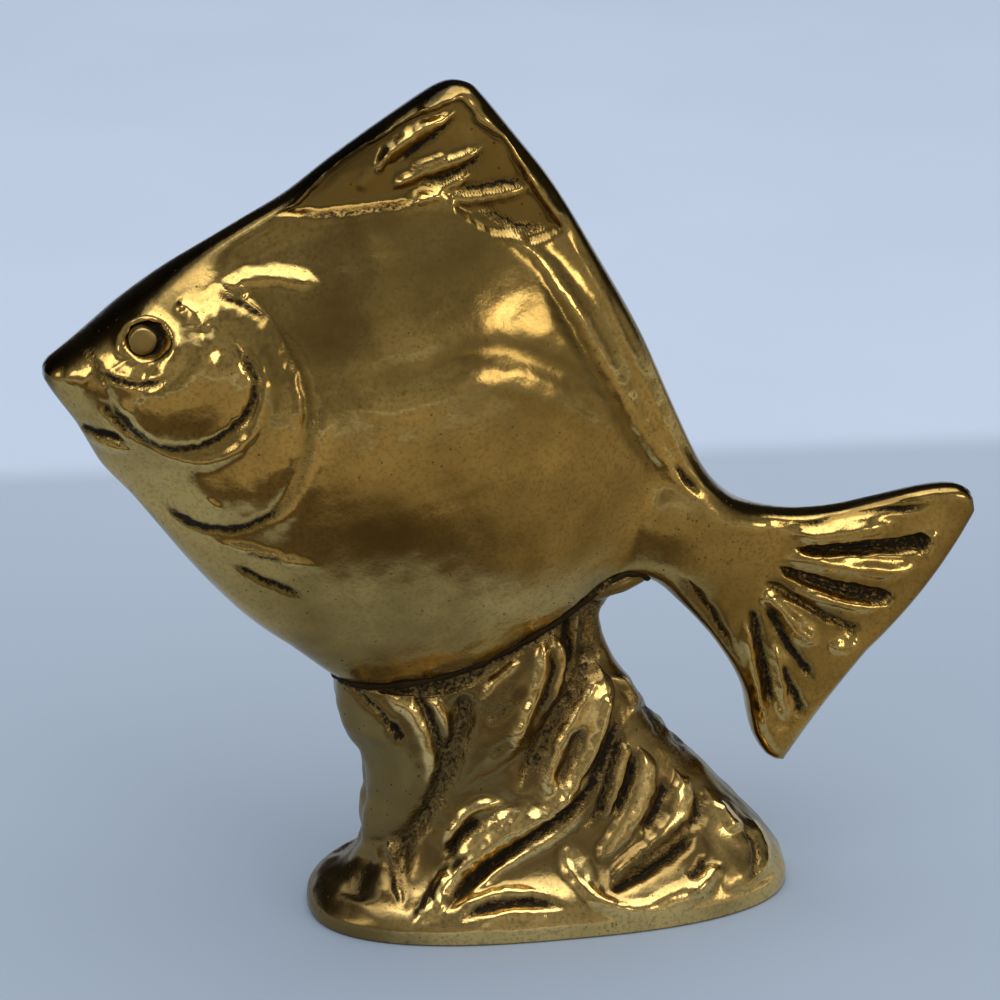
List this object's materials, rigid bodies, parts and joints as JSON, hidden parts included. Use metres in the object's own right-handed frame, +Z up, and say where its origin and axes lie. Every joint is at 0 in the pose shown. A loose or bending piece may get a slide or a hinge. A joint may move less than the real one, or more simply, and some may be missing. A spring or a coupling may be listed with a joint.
{
  "type": "fish figurine",
  "caption": "Deep-bodied fish figurine in brass, seated on a carved wave-shaped stand with an oval foot and a felt pad; desk ornament.",
  "frame": {"origin": "centre of the face that the foot rests on", "axes": "head toward -X and tail toward +X, the side that the picture shows toward -Y, +Z up"},
  "size_m": [0.1114, 0.03, 0.1028],
  "materials": {
    "brass": "aged polished casting with dark recesses",
    "filler": "dull dark brazed joint",
    "felt": "black felt"
  },
  "bodies": {
    "root": {"fish": "brass", "eye_near": "brass", "eye_far": "brass", "stand": "brass", "dowel_pin": "brass", "braze_seam": "filler", "felt_pad": "felt"}
  },
  "joints": []
}
